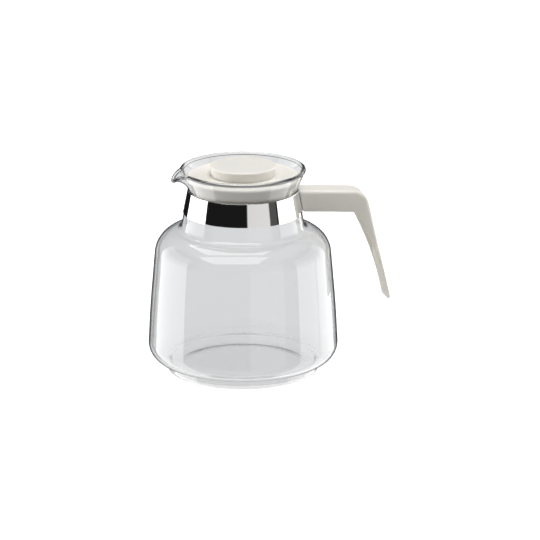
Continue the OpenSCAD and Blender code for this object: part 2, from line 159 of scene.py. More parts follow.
class Finishes(bpy.types.PropertyGroup):
    """Colours of the finishes."""
    glass: colour("Glass", "Tint that one pass through the wall leaves", (0.815, 0.819, 0.824))
    # Painted shade: a near-black colour that the glass takes on where it is seen edge on, for dark outlines
    painted_edge_shade: colour("Glass edge", "Tint where the glass is seen edge on", (0.03, 0.035, 0.04))
    plastic: colour("Plastic", "Warm white moulded plastic", (0.81, 0.785, 0.735))
    steel: colour("Steel", "Polished band", (0.90, 0.885, 0.875))
    zinc: colour("Zinc", "Plated screw and nut", (0.62, 0.63, 0.65))
    floor: colour("Floor", "Pale floor", (0.86, 0.86, 0.86))


class StageSettings(bpy.types.PropertyGroup):
    """Camera and studio."""
    azimuth: angle("Azimuth", "Direction that the camera looks from, round the object", -14.5)
    elevation: angle("Elevation", "Height of the camera above the horizon", 16.84)
    distance: length("Distance", "From the camera to the point that it looks at", 3.7037, high=10.0)
    aim_z: length("Aim height", "Height of the point that the camera looks at", 0.075)
    aim_right: length("Aim aside", "How far right of the axis the camera looks", 0.020)
    lens: number("Lens", "Focal length in millimetres", 333.3, high=1000.0, unit="CAMERA")
    sky: number("Sky", "Strength of the studio's light", 1.0)


# Profiles and paths

def turned(v, a):
    """The plane vector v turned by the angle a."""
    c, s = math.cos(a), math.sin(a)
    return np.array([v[0] * c - v[1] * s, v[0] * s + v[1] * c])


def unit(v):
    """v over its own length."""
    return v / np.linalg.norm(v)


def left_of(v):
    """v turned a quarter to the left."""
    return np.array([-v[1], v[0]])


def cross(u, v):
    """Signed area that u and v span."""
    return u[0] * v[1] - u[1] * v[0]


def meeting(p, u, q, v):
    """Where the line p + s u meets the line q + t v."""
    return p + u * cross(q - p, v) / cross(u, v)


class Path:
    """Corners (x, y, radius). A round corner is the arc c + r (cos t, sin t) that touches both its legs."""

    def __init__(self, corners):
        self.points = [np.array(c[:2], float) for c in corners]
        self.radii = [c[2] if len(c) > 2 else 0.0 for c in corners]
        self.dirs = [unit(b - a) for a, b in zip(self.points, self.points[1:])]
        self.legs = [np.linalg.norm(b - a) for a, b in zip(self.points, self.points[1:])]

    def turn(self, i):
        """Signed turn at corner i."""
        u, v = self.dirs[i - 1], self.dirs[i]
        return math.copysign(math.acos(max(-1.0, min(1.0, float(u @ v)))), cross(u, v))

    def tangent(self, i):
        """Length of leg that corner i's arc takes up: r tan(turn / 2)."""
        if i <= 0 or i >= len(self.points) - 1 or not self.radii[i]:
            return 0.0
        return self.radii[i] * math.tan(abs(self.turn(i)) / 2)

    def fitted(self, i):
        """The tangent, cut down where two arcs would share a leg."""
        share = 1.0
        for j in (i - 1, i + 1):
            if 0 < j < len(self.points) - 1:
                both = self.tangent(i) + self.tangent(j)
                leg = self.legs[min(i, j)]
                if both > leg:
                    share = min(share, leg / both)
        return self.tangent(i) * share

    def arc(self, i, steps=0, step=math.radians(3)):
        """Points of corner i's arc, in a number of steps or in steps of one angle."""
        a, t = self.turn(i), self.fitted(i)
        r = t / math.tan(abs(a) / 2)
        start = self.points[i] - self.dirs[i - 1] * t
        centre = start + left_of(self.dirs[i - 1]) * r * math.copysign(1, a)
        n = steps or max(2, math.ceil(abs(a) / step))
        return np.array([centre + turned(start - centre, a * k / n) for k in range(n + 1)])

    def line(self):
        """The whole path as one row of points, with its round corners as arcs."""
        rows = []
        for i, p in enumerate(self.points):
            rows.append(self.arc(i) if self.tangent(i) else p[None, :])
        return single(np.concatenate(rows))

    def inset(self, t, least=0.0004):
        """The same path moved to its left by t, with no corner's radius under the least."""
        out = []
        last = len(self.points) - 1
        for i, p in enumerate(self.points):
            a = left_of(self.dirs[max(i - 1, 0)])
            b = left_of(self.dirs[min(i, last - 1)])
            q = p + (a + b) * t / (1 + a @ b)
            if 0 < i < last:
                r = self.radii[i] - math.copysign(t, self.turn(i))
                out.append((q[0], q[1], max(least, r)))
            else:
                out.append((q[0], q[1]))
        return Path(out)


def single(points):
    """The row of points without the ones that repeat their neighbour."""
    keep = np.r_[True, np.linalg.norm(np.diff(points, axis=0), axis=1) > HAIR]
    return points[keep]


def supported(points, beside=BESIDE, long=5):
    """The row with a point beside both ends of each straight that is some times longer than that distance, so
    that arcs and flats shade apart."""
    a, b = points[:-1], points[1:]
    legs = np.linalg.norm(b - a, axis=1)
    out = [points[0]]
    for p, q, leg in zip(a, b, legs):
        if leg > long * beside:
            u = (q - p) / leg
            out += [p + u * beside, q - u * beside]
        out.append(q)
    return np.array(out)


# Meshes

def volume(verts, faces):
    """Volume inside closed faces: the sum of a . (b x c) / 6 over each face's fan of triangles."""
    total = 0.0
    for size in {len(f) for f in faces}:
        corners = np.asarray(verts)[np.array([f for f in faces if len(f) == size])]
        for k in range(1, size - 1):
            a, b, c = corners[:, 0], corners[:, k], corners[:, k + 1]
            total += float((a * np.cross(b, c)).sum()) / 6
    return total


def make_object(name, verts, faces, material, sharp=SHARP):
    """A mesh object at the origin, its faces turned outwards, smooth but for its sharp edges."""
    mesh = bpy.data.meshes.new(name)
    step = 1 if volume(verts, faces) > 0 else -1
    mesh.from_pydata(np.asarray(verts).tolist(), [], [list(f)[::step] for f in faces])
    mesh.validate()
    mesh.polygons.foreach_set("use_smooth", np.ones(len(mesh.polygons), bool))
    mesh.set_sharp_from_angle(angle=sharp)
    mesh.materials.append(material)
    mesh.update()
    obj = bpy.data.objects.new(name, mesh)
    bpy.context.scene.collection.objects.link(obj)
    return obj


def grid_faces(rows, columns):
    """Quads (i, j), (i, j+1), (i+1, j+1), (i+1, j) of a grid of points whose last column meets its first."""
    i, j = np.arange(rows - 1)[:, None], np.arange(columns)[None, :]
    row, above, after = i * columns, (i + 1) * columns, (j + 1) % columns
    corners = np.broadcast_arrays(row + j, row + after, above + after, above + j)
    return np.stack(corners, -1).reshape(-1, 4)


def pole_grid(r, z, a):
    """Surface (r cos a, r sin a, z) over a grid whose first and last rows are points on the axis.
    Returns the vertices, one for each pole, and the faces, with the outside on the right of the profile."""
    rows, columns = r.shape
    ring = np.stack([r * np.cos(a), r * np.sin(a), z], -1)[1:-1].reshape(-1, 3)
    verts = np.vstack([ring, [[0, 0, z[0, 0]], [0, 0, z[-1, 0]]]])
    quads = grid_faces(rows - 2, columns)
    j = np.arange(columns)
    first, last = len(ring), len(ring) + 1
    base = (rows - 3) * columns
    fan_a = np.stack([np.full(columns, first), (j + 1) % columns, j], -1)
    fan_b = np.stack([np.full(columns, last), base + j, base + (j + 1) % columns], -1)
    return verts, [*quads.tolist(), *fan_a.tolist(), *fan_b.tolist()]


def turned_solid(profile, columns=192):
    """Solid of revolution of a profile that starts and ends on the axis, outside on its right."""
    a = np.linspace(0, 2 * math.pi, columns, endpoint=False)[None, :]
    r = np.repeat(profile[:, :1], columns, 1)
    z = np.repeat(profile[:, 1:], columns, 1)
    return pole_grid(r, z, a)


def loft(loops):
    """Solid through like loops (n loops, m points, 3), with flat ends. Each loop runs anticlockwise
    for an eye that looks along the row."""
    n, m, _ = loops.shape
    faces = grid_faces(n, m).tolist()
    j = np.arange(m)
    return loops.reshape(-1, 3), [*faces, j[::-1].tolist(), ((n - 1) * m + j).tolist()]


def prism(outline, low, high):
    """Straight bar: a flat outline (x, z) carried along y from low to high."""
    x, z = np.broadcast_to(outline.T[:, None], (2, 2, len(outline)))
    y = np.broadcast_to(np.array([low, high])[:, None], x.shape)
    return loft(np.stack([x, y, z], -1))


def circle(x, y, r, steps=64):
    """Points (x + r cos t, y + r sin t), t running round once."""
    t = np.linspace(0, 2 * math.pi, steps, endpoint=False)
    return np.stack([x + r * np.cos(t), y + r * np.sin(t)], -1)


def rectangle(x0, x1, y0, y1):
    """The four corners, anticlockwise."""
    return np.array([[x0, y0], [x1, y0], [x1, y1], [x0, y1]])


def joined(*solids):
    """Several solids as one list of vertices and faces."""
    verts, faces, start = [], [], 0
    for v, f in solids:
        verts.append(np.asarray(v))
        faces += [[i + start for i in face] for face in f]
        start += len(v)
    return np.vstack(verts), faces


def cut_away(obj, *solids):
    """Takes solids away from obj with an exact boolean for each, applied at once."""
    for k, (verts, faces) in enumerate(solids):
        tool = make_object(f"cut_{k}", verts, faces, obj.data.materials[0])
        cut = obj.modifiers.new("cut", "BOOLEAN")
        cut.operation, cut.solver, cut.object = "DIFFERENCE", "EXACT", tool
        graph = bpy.context.evaluated_depsgraph_get()
        mesh = bpy.data.meshes.new_from_object(obj.evaluated_get(graph))
        obj.modifiers.clear()
        old, obj.data = obj.data, mesh
        bpy.data.meshes.remove(old)
        used = tool.data
        bpy.data.objects.remove(tool)
        bpy.data.meshes.remove(used)
    obj.data.polygons.foreach_set("use_smooth", np.ones(len(obj.data.polygons), bool))
    obj.data.set_sharp_from_angle(angle=SHARP)


def finished(obj, body, slot, *nodes):
    """The piece rides on its body and stands for its CAD nodes, which it hides; slot is not used."""
    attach(obj, body)
    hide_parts(*nodes)


# Shapes that the pieces share

class JugShape:
    """The jug's profile and the lines that the band and the lid follow."""

    # Small sizes of the foot, the neck and the push-up
    foot_round = 0.002
    foot_draft = 0.0004
    notch_round = 0.001
    base_rise = 0.0007
    neck_round = 0.005
    throat_round = 0.0025
    punt_slope_w = 0.009
    punt_round = 0.030
    ring_round = 0.006
    # The lip: the share of the flare's height where it starts, its powers, and the rise of its cheeks
    lip_start_share = 0.14
    lip_curl = 2.1
    lip_dip = 3.2
    lip_taper = 3
    lip_nod = 1.5
    lip_cheek = 0.0007
    # The body's rows end this far below the lip's start, and the flare's at this share of the way to the rim
    lip_join = 0.0002
    flare_share = 0.93
    # Strength of the painted dark line in the crease inside the bead, where the one outside it has 1
    inner_crease_shade = 0.7

    def __init__(self, s):
        self.s = s
        t = s.glass_t
        throat = np.array([s.throat_r, s.throat_z])
        self.rim = np.array([s.rim_r, s.rim_z])
        run = self.rim - throat
        self.flare = turned(unit(run), -math.asin(t / 2 / np.linalg.norm(run)))
        self.outer = Path([
            (0, s.punt_h),
            (s.foot_r - s.foot_ring_w - self.punt_slope_w, s.punt_h, self.punt_round),
            (s.foot_r - s.foot_ring_w, 0, self.ring_round),
            (s.foot_r, 0, self.foot_round),
            (s.foot_r + self.foot_draft, s.foot_h, self.notch_round),
            (s.base_r, s.foot_h + self.base_rise, s.base_round),
            (s.wall_r, s.wall_z, s.wall_bow),
            (s.shoulder_r, s.shoulder_z, s.shoulder_round),
            (s.neck_r, s.shoulder_z + s.shoulder_rise, self.neck_round),
            (s.throat_r, s.throat_z, self.throat_round),
            self.rim - left_of(self.flare) * t / 2,
        ])
        self.inner = self.outer.inset(t)
        self.throat_in = self.inner.points[-2]
        self.lip_z = s.throat_z + run[1] * self.lip_start_share
        self.lip_foot = meeting(self.rim, self.flare, np.array([0.0, self.lip_z]), np.array([1.0, 0.0]))

    def neck_out(self, z):
        """Radius of the neck's outside at a height."""
        s = self.s
        foot = s.shoulder_z + s.shoulder_rise
        return s.neck_r + (s.throat_r - s.neck_r) * (z - foot) / (s.throat_z - foot)

    def flare_in(self, z):
        """Radius of the flare's inside at a height."""
        return self.throat_in[0] + (z - self.throat_in[1]) * self.flare[0] / self.flare[1]


def jug_surface(shape, columns=252, rows=22, bead_rows=14):
    """Jug: the profile (r, z) turned by the angle a. Above the flare's foot the wall's middle line is
    foot + (rim - foot) u + (out(a) u^curl, up(a) u^dip), with pull(a) = ((1 + cos(pi a / half)) / 2)^taper,
    out = reach pull and up = 4 cheek pull (1 - pull) - drop pull^nod. The two faces lie half a wall to each
    side of it, joined over the rim by a round bead. A third of the columns stand in the lip. Returns the
    vertices, the faces and, for each vertex, the strength of a painted dark line along the creases between
    the bead and the wall."""
    s, t = shape.s, shape.s.glass_t
    third = columns // 3
    a = np.concatenate([
        np.linspace(-s.lip_half, s.lip_half, third, endpoint=False),
        np.linspace(s.lip_half, 2 * math.pi - s.lip_half, columns - third, endpoint=False)])
    a = np.where(a > math.pi, a - 2 * math.pi, a)
    swing = np.clip(a / s.lip_half, -1, 1)
    pull = ((1 + np.cos(math.pi * swing)) / 2) ** shape.lip_taper
    up = 4 * shape.lip_cheek * pull * (1 - pull) - s.lip_drop * pull ** shape.lip_nod
    draw = np.stack([s.lip_reach * pull, up], -1)[None]
    power = np.array([shape.lip_curl, shape.lip_dip])
    rise = shape.rim - shape.lip_foot

    def middle(u):
        return shape.lip_foot + rise * u + draw * u ** power

    def along(u):
        d = rise + draw * power * u ** (power - 1)
        return d / np.linalg.norm(d, axis=-1, keepdims=True)

    def inward(d):
        return np.stack([-d[..., 1], d[..., 0]], -1)

    u = np.linspace(0, shape.flare_share, rows)[:, None, None]
    d = along(u)
    outside = middle(u) - inward(d) * t / 2
    inside = middle(u) + inward(d) * t / 2
    top = np.ones((1, 1, 1))
    start = math.pi - math.asin(t / 2 / s.rim_bead)
    w = np.linspace(start, -start, bead_rows)[:, None, None]
    e = along(top)
    bead = middle(top) + s.rim_bead * (np.cos(w) * e - np.sin(w) * inward(e))
    low_out, low_in = shape.outer.line(), shape.inner.line()[::-1]
    low_out = low_out[low_out[:, 1] < shape.lip_z - shape.lip_join]
    low_in = low_in[low_in[:, 1] < shape.lip_z - shape.lip_join]

    def spread(line):
        return np.repeat(line[:, None, :], columns, 1)

    grid = np.concatenate([spread(low_out), outside, bead, inside[::-1], spread(low_in)])
    # Marks for a painted dark line along the creases between the bead and the wall
    painted_crease_shade = np.zeros(grid.shape[:2])
    first = len(low_out) + rows
    last = first + bead_rows - 1
    painted_crease_shade[first] = 1
    painted_crease_shade[[last, last + 1]] = shape.inner_crease_shade
    verts, faces = pole_grid(grid[..., 0], grid[..., 1], (a + math.pi)[None, :])
    return verts, faces, np.append(painted_crease_shade[1:-1].ravel(), (0, 0))


# Materials

# A ray that has bounced more often than this goes straight on through the glass
TRAPPED = 4
# Most of the noise lies in this range
NOISE = (0.3, 0.7)


def blank(name):
    """A material with nodes, its Principled shader and its output."""
    mat = bpy.data.materials.new(name)
    mat.use_nodes = True
    tree = mat.node_tree
    return mat, tree, tree.nodes["Principled BSDF"], tree.nodes["Material Output"]


def feed(n, **inputs):
    """Gives each named input of a node its number or colour, or links another node's output to it."""
    for name, value in inputs.items():
        socket = n.inputs[name.replace("_", " ")]
        if isinstance(value, bpy.types.NodeSocket):
            n.id_data.links.new(value, socket)
        else:
            socket.default_value = value


def node(tree, kind, **settings):
    """A new node with its properties, and its inputs where the name is one."""
    n = tree.nodes.new(kind)
    for key, value in settings.items():
        if hasattr(n, key):
            setattr(n, key, value)
        else:
            feed(n, **{key: value})
    return n


def calc(tree, operation, *values):
    """A Math node's result; a value is a number or another node's output."""
    n = node(tree, "ShaderNodeMath", operation=operation)
    for socket, value in zip(n.inputs, values):
        if isinstance(value, (int, float)):
            socket.default_value = value
        else:
            tree.links.new(value, socket)
    return n.outputs[0]


def ranged(tree, source, span, result):
    """source carried smoothly from the ends of span to the ends of result."""
    return node(tree, "ShaderNodeMapRange", interpolation_type="SMOOTHSTEP", Value=source, From_Min=span[0],
                From_Max=span[1], To_Min=result[0], To_Max=result[1]).outputs["Result"]


def place_of(tree, kind):
    """Object coordinates of the piece, or the direction that the world is seen in (Generated)."""
    return node(tree, "ShaderNodeTexCoord").outputs[kind]


def noise(tree, scale, detail):
    """Noise on the piece's own coordinates; scale is in features a metre."""
    place = place_of(tree, "Object")
    return node(tree, "ShaderNodeTexNoise", Scale=scale, Detail=detail, Vector=place).outputs["Fac"]


def relief(tree, height, strength, distance):
    """The normal of a faint relief."""
    bump = node(tree, "ShaderNodeBump", Strength=strength, Distance=distance, Height=height)
    return bump.outputs["Normal"]


def mixed(tree, out, share, one, other):
    """Sends to the output the first shader, and the other one in place of it for a share."""
    mix = node(tree, "ShaderNodeMixShader", Fac=share)
    tree.links.new(one.outputs[0], mix.inputs[1])
    tree.links.new(other.outputs[0], mix.inputs[2])
    tree.links.new(mix.outputs[0], out.inputs["Surface"])


def clear_glass(f):
    """Clear blown glass: faintly wavy, with painted shade where it is seen edge on and a painted dark line
    along the creases of the rim's bead, and light in its own shadow. A ray trapped in the wall goes straight
    on with a painted
    shade by height: most of its light in the jug's body and little above the neck's root."""
    edge_on, crease_shade_span = (0.735, 0.845), (0.1, 0.6)
    # Painted shade by height for a trapped ray: pale low in the jug, dark above the neck's root
    neck_z, trapped_light = (0.108, 0.130), (0.93, 0.04)
    shadow_light = 0.93
    mat, tree, shader, out = blank("clear glass")
    facing = node(tree, "ShaderNodeLayerWeight", Blend=0.5).outputs["Facing"]
    painted_crease_shade = node(tree, "ShaderNodeAttribute", attribute_name="painted_crease_shade").outputs["Fac"]
    # Painted shade: dark where the glass is seen edge on, and a painted dark line along the creases of the
    # rim's bead
    dark = calc(tree, "MAXIMUM", ranged(tree, facing, edge_on, (0, 1)),
                ranged(tree, painted_crease_shade, crease_shade_span, (0, 1)))
    tint = node(tree, "ShaderNodeMix", data_type="RGBA", Factor=dark, A=(*f.glass, 1), B=(*f.painted_edge_shade, 1))
    wave = relief(tree, noise(tree, scale=38, detail=2), strength=0.04, distance=0.002)
    feed(shader, Transmission_Weight=1, Roughness=0, IOR=1.47, Base_Color=tint.outputs["Result"], Normal=wave)
    path = node(tree, "ShaderNodeLightPath").outputs
    z = node(tree, "ShaderNodeSeparateXYZ", Vector=place_of(tree, "Object")).outputs["Z"]
    shadow = calc(tree, "MULTIPLY", path["Is Shadow Ray"], shadow_light)
    left = calc(tree, "MAXIMUM", ranged(tree, z, neck_z, trapped_light), shadow)
    straight = node(tree, "ShaderNodeBsdfTransparent", Color=left)
    trapped = calc(tree, "GREATER_THAN", path["Ray Depth"], TRAPPED)
    mixed(tree, out, calc(tree, "MAXIMUM", path["Is Shadow Ray"], trapped), shader, straight)
    return mat


def warm_plastic(f):
    """Glossy moulded plastic with a faint flow in its tone and gloss."""
    tones, gloss = (0.995, 1.005), (0.285, 0.315)
    mat, tree, shader, _ = blank("warm white plastic")
    flow = noise(tree, scale=60, detail=4)
    ramp = node(tree, "ShaderNodeValToRGB", Fac=flow)
    for stop, tone in zip(ramp.color_ramp.elements, tones):
        stop.color = (*[c * tone for c in f.plastic], 1)
    feed(shader, Base_Color=ramp.outputs["Color"], Roughness=ranged(tree, flow, NOISE, gloss), IOR=1.49,
         Subsurface_Weight=0.4, Subsurface_Radius=(1.0, 0.92, 0.7), Subsurface_Scale=0.003)
    return mat


def polished_steel(f):
    """Polished steel sheet with the faint ripple of a rolled strip."""
    gloss = (0.02, 0.06)
    mat, tree, shader, _ = blank("polished steel")
    grain = noise(tree, scale=500, detail=3)
    ripple = relief(tree, noise(tree, scale=70, detail=1), strength=0.03, distance=0.001)
    feed(shader, Metallic=1, Base_Color=(*f.steel, 1), Normal=ripple,
         Roughness=ranged(tree, grain, NOISE, gloss))
    return mat


def plated_zinc(f):
    """Dull plated steel of the screw and nut."""
    gloss = (0.28, 0.42)
    mat, tree, shader, _ = blank("plated zinc")
    grain = noise(tree, scale=2500, detail=4)
    pits = relief(tree, grain, strength=0.1, distance=0.0001)
    feed(shader, Metallic=1, Base_Color=(*f.zinc, 1), Normal=pits,
         Roughness=ranged(tree, grain, NOISE, gloss))
    return mat


def finish_of(name, make):
    """The named material, made on its first use."""
    return bpy.data.materials.get(name) or make(bpy.context.scene.server_finishes)


# Pieces

class SERVER_OT_jug(bpy.types.Operator):
    """Makes the glass jug with its drawn lip"""
    bl_idname = "server.jug"
    bl_label = "Glass jug"

    def execute(self, context):
        shape = JugShape(context.scene.server_jug)
        verts, faces, painted_crease_shade = jug_surface(shape)
        obj = make_object("jug", verts, faces, finish_of("clear glass", clear_glass), sharp=math.radians(60))
        obj.data.attributes.new("painted_crease_shade", "FLOAT", "POINT").data.foreach_set("value", painted_crease_shade)
        finished(obj, "server", "glass", "glass_jug")
        return {"FINISHED"}


def ring_strip(profile, start, end, columns=361):
    """A closed loop (r, z) carried round the axis from the angle start to end: (r cos a, r sin a, z)."""
    a = np.linspace(start, end, columns)[:, None]
    r, z = profile[None, :, 0], profile[None, :, 1]
    return loft(np.stack([r * np.cos(a), r * np.sin(a), np.broadcast_to(z, (columns, len(profile)))], -1))


class SERVER_OT_band(bpy.types.Operator):
    """Makes the steel neck band and its two ears"""
    bl_idname = "server.band"
    bl_label = "Neck band"

    edge_share = 0.35
    edge_steps = 4
    edge_support = 0.0002

    def strip_section(self, jug, b, top, foot):
        """Section of the strap: a thin bar beside the neck with four round edges."""
        def at(z, out):
            return jug.neck_out(z) + b.band_gap + out, z

        middle, edge = at((top + foot) / 2, 0), b.band_t * self.edge_share
        corners = [(*at(z, out), edge) for z, out in ((foot, 0), (foot, b.band_t), (top, b.band_t), (top, 0))]
        path = Path([middle, *corners, middle])
        arcs = [path.arc(i, self.edge_steps) for i in range(1, len(corners) + 1)]
        return supported(single(np.concatenate(arcs)), self.edge_support)

    def execute(self, context):
        handle = HandleShape(context.scene)
        jug, b, top = handle.jug, handle.band, handle.band_top
        foot = top - b.band_h
        half_slit = math.asin(b.ear_gap / 2 / jug.neck_out(foot))
        section = self.strip_section(jug, b, top, foot)
        strip = ring_strip(section, half_slit, 2 * math.pi - half_slit)
        x, z = handle.screw
        ear = rectangle(jug.neck_out(z) + b.band_gap, x + handle.ear_past, z - b.ear_h / 2, z + b.ear_h / 2)
        ears = []
        for side in (-1, 1):
            middle = side * (b.ear_gap + b.band_t) / 2
            ears.append(prism(ear, middle - b.band_t / 2, middle + b.band_t / 2))
        obj = make_object("band", *joined(strip, *ears), finish_of("polished steel", polished_steel))
        finished(obj, "server", "polished_steel", "neck_band")
        return {"FINISHED"}


class HandleShape:
    """The handle's side view: its back, its flange edges and the normals of its back, station by station, and
    the clamp screw's place in it. The channel opens over the first stations past the solid root."""

    # The moulding: small roundings, and the share of its depth that the long edges' rounding may take up
    web_fillet = 0.0008
    flange_round = 0.0005
    tip_round = 0.0007
    edge_share = 0.6
    # The hollows of the root and what lies in them
    root_gap = 0.0004
    clamp_gap = 0.0001
    ear_past = 0.004
    bore_r = 0.0021
    recess_r = 0.0041
    pocket_half = 0.0036
    head_h = 0.0026
    head_sink = 0.0006
    screw_l = 0.014
    screw_past = 0.0017
    nut_t = 0.0022
    # Stations past the root, how far the channel is open from the tail on, and steps of the round stretches
    root_stations = (0, 0.0001, 0.0006, 0.0015)
    open_shares = (0, 0, 0.9)
    bend_steps = 36
    sweep_steps = 40
    tip_steps = 5

    def __init__(self, scene):
        self.jug, self.band, self.h = JugShape(scene.server_jug), scene.server_band, scene.server_handle
        self.band_top = self.jug.s.throat_z - self.band.band_drop
        self.arm_dir = np.array([math.cos(self.h.arm_droop), -math.sin(self.h.arm_droop)])
        self.arm_up = left_of(self.arm_dir)
        z = self.band_top - self.h.arm_drop
        self.start = np.array([self.band_out(z), z])
        x = self.start[0] + self.h.screw_reach
        self.screw = (x, self.top(x) - self.h.arm_h / 2)
        self.place_clamp()
        self.place_stations()

    def band_out(self, z):
        """Radius of the band's outside at a height."""
        return self.jug.neck_out(z) + self.band.band_gap + self.band.band_t

    def top(self, x):
        """Height of the arm's top at a reach x."""
        return self.start[1] - (x - self.start[0]) * math.tan(self.h.arm_droop)

    def place_clamp(self):
        """Where across the handle the screw's head seats, its shank ends and the nut's pocket lies."""
        self.head_seat = self.h.handle_w / 2 - self.head_h - self.head_sink
        self.shank_tip = self.head_seat - self.screw_l - self.clamp_gap
        nut_low = self.head_seat - self.screw_l + self.screw_past
        self.nut_span = (nut_low - self.clamp_gap, nut_low + self.nut_t + self.clamp_gap)

    def place_stations(self):
        """At each station: a point of the back, one of the flange's edge, the back's normal, how much the
        tip's rounding draws the section in, and how far the channel is open. The tip is a quarter turn, with
        stations r (1 - sin t) short of the end and drawn in by r (1 - cos t)."""
        h, n = self.h, self.bend_steps
        leg = np.array([math.sin(h.leg_lean), -math.cos(h.leg_lean)])
        out = left_of(leg)
        bend = np.array([h.bend_x, self.top(h.bend_x)])
        tip = bend + leg * h.leg_drop / math.cos(h.leg_lean)
        tip_in = tip - out * h.web_t
        tail = self.start - self.arm_dir * h.arm_h
        back = Path([tail, (*bend, h.bend_round), tip])
        palm = np.array([h.palm_x, self.top(h.palm_x) - h.arm_h / math.cos(h.arm_droop)])
        run = np.array([math.sin(h.flange_lean), -math.cos(h.flange_lean)])
        run_out = meeting(palm, run, tip_in, leg)
        low = tail - self.arm_up * h.arm_h
        flange = Path([low, (*palm, h.palm_round), (*run_out, h.flange_sweep), tip_in])
        sweep = flange.arc(2, self.sweep_steps)
        root = self.start + self.arm_dir * h.root_l
        arm = [tail, *[root + self.arm_dir * d for d in self.root_stations]]
        outer = [*arm, *back.arc(1, n), *(tip + np.outer((sweep - tip) @ leg, leg))]
        inner = [*[p - self.arm_up * h.arm_h for p in arm], *flange.arc(1, n), *sweep]
        normal = [self.arm_up] * len(arm)
        normal += [turned(self.arm_up, back.turn(1) * k / n) for k in range(n + 1)]
        normal += [out] * len(sweep)
        pinch = [0.0] * len(outer)
        for k in range(self.tip_steps + 1):
            t = math.pi / 2 * k / self.tip_steps
            inside = self.tip_round * (1 - math.cos(t))
            step = leg * self.tip_round * (math.sin(t) - 1)
            outer.append(tip + step - out * inside)
            inner.append(tip_in + step + out * inside)
            normal.append(out)
            pinch.append(inside)
        self.outer, self.inner, self.normal, self.pinch = map(np.array, (outer, inner, normal, pinch))
        self.open_share = np.ones(len(outer))
        self.open_share[:len(self.open_shares)] = self.open_shares


def quarter(points):
    """Pairs (1 - cos t, 1 - sin t) over a quarter turn."""
    return [(1 - math.cos(t), 1 - math.sin(t)) for t in np.linspace(0, math.pi / 2, points)]


def handle_loops(shape, back_points=9, small_points=4):
    """Section of the moulding at each station, as the depth d below its back and the side y: half of a U from
    the channel's floor over the flange's edge to the back, and its mirror image. A point lies at
    outer - normal d down to the web's thickness, and from there on the straight line to the flange's edge."""
    h = shape.h
    span = shape.inner - (shape.outer - shape.normal * h.web_t)
    reach = np.linalg.norm(span, axis=1)
    down = np.where(reach[:, None] > HAIR, span / np.maximum(reach, HAIR)[:, None], -shape.normal)
    depth = h.web_t + reach
    floor = depth - reach * shape.open_share
    half = h.handle_w / 2 - shape.pinch
    inner_half = h.handle_w / 2 - h.flange_t
    edge = np.minimum(h.edge_round, shape.edge_share * depth) * (1 - shape.pinch / h.web_t)
    rim = shape.flange_round
    fillet, lip = (np.minimum(r, (depth - floor) / 2) for r in (shape.web_fillet, rim))
    rows = [(floor, 0 * half), (floor, inner_half - fillet - BESIDE)]
    rows += [(floor + fillet * c, inner_half - fillet * s) for c, s in quarter(small_points)]
    rows += [(depth - lip * s, inner_half + lip * c) for c, s in quarter(small_points)]
    rows += [(depth - rim * c, half - rim * s) for c, s in quarter(small_points)]
    rows += [(edge + BESIDE, half)]
    rows += [(edge * s, half - edge * c) for c, s in quarter(back_points)]
    rows += [(0 * depth, half - edge - BESIDE), (0 * depth, 0 * half)]
    d, y = (np.stack([np.broadcast_to(row[k], depth.shape) for row in rows], -1) for k in (0, 1))
    d = np.concatenate([d, d[:, -2:0:-1]], 1)
    y = np.concatenate([y, -y[:, -2:0:-1]], 1)
    near, far = np.minimum(d, h.web_t)[..., None], np.maximum(d - h.web_t, 0)[..., None]
    plane = shape.outer[:, None] - shape.normal[:, None] * near + down[:, None] * far
    return np.stack([plane[..., 0], y, plane[..., 1]], -1)


class SERVER_OT_handle(bpy.types.Operator):
    """Makes the moulded handle with its channel and the root that holds the clamp"""
    bl_idname = "server.handle"
    bl_label = "Handle"

    def execute(self, context):
        shape = HandleShape(context.scene)
        b, h = shape.band, shape.h
        obj = make_object("handle", *loft(handle_loops(shape)), finish_of("warm white plastic", warm_plastic))
        foot, top = shape.band_top - b.band_h - h.arm_h, shape.band_top + h.arm_h
        cone = turned_solid(np.array([[0, foot], [shape.band_out(foot) + shape.root_gap, foot],
                                      [shape.band_out(top) + shape.root_gap, top], [0, top]]), columns=384)
        (x, z), gap = shape.screw, shape.clamp_gap
        ear, ear_z = b.ear_gap / 2 + b.band_t + gap, b.ear_h / 2 + gap
        slot = prism(rectangle(0, x + shape.ear_past + gap, z - ear_z, z + ear_z), -ear, ear)
        bore = prism(circle(x, z, shape.bore_r), shape.shank_tip, h.handle_w)
        recess = prism(circle(x, z, shape.recess_r), shape.head_seat, h.handle_w)
        half = shape.pocket_half
        pocket = prism(rectangle(x - half, x + half, z - h.arm_h, z + half), *shape.nut_span)
        cut_away(obj, cone, slot, bore, recess, pocket)
        finished(obj, "server", "warm_white_plastic", "handle")
        return {"FINISHED"}


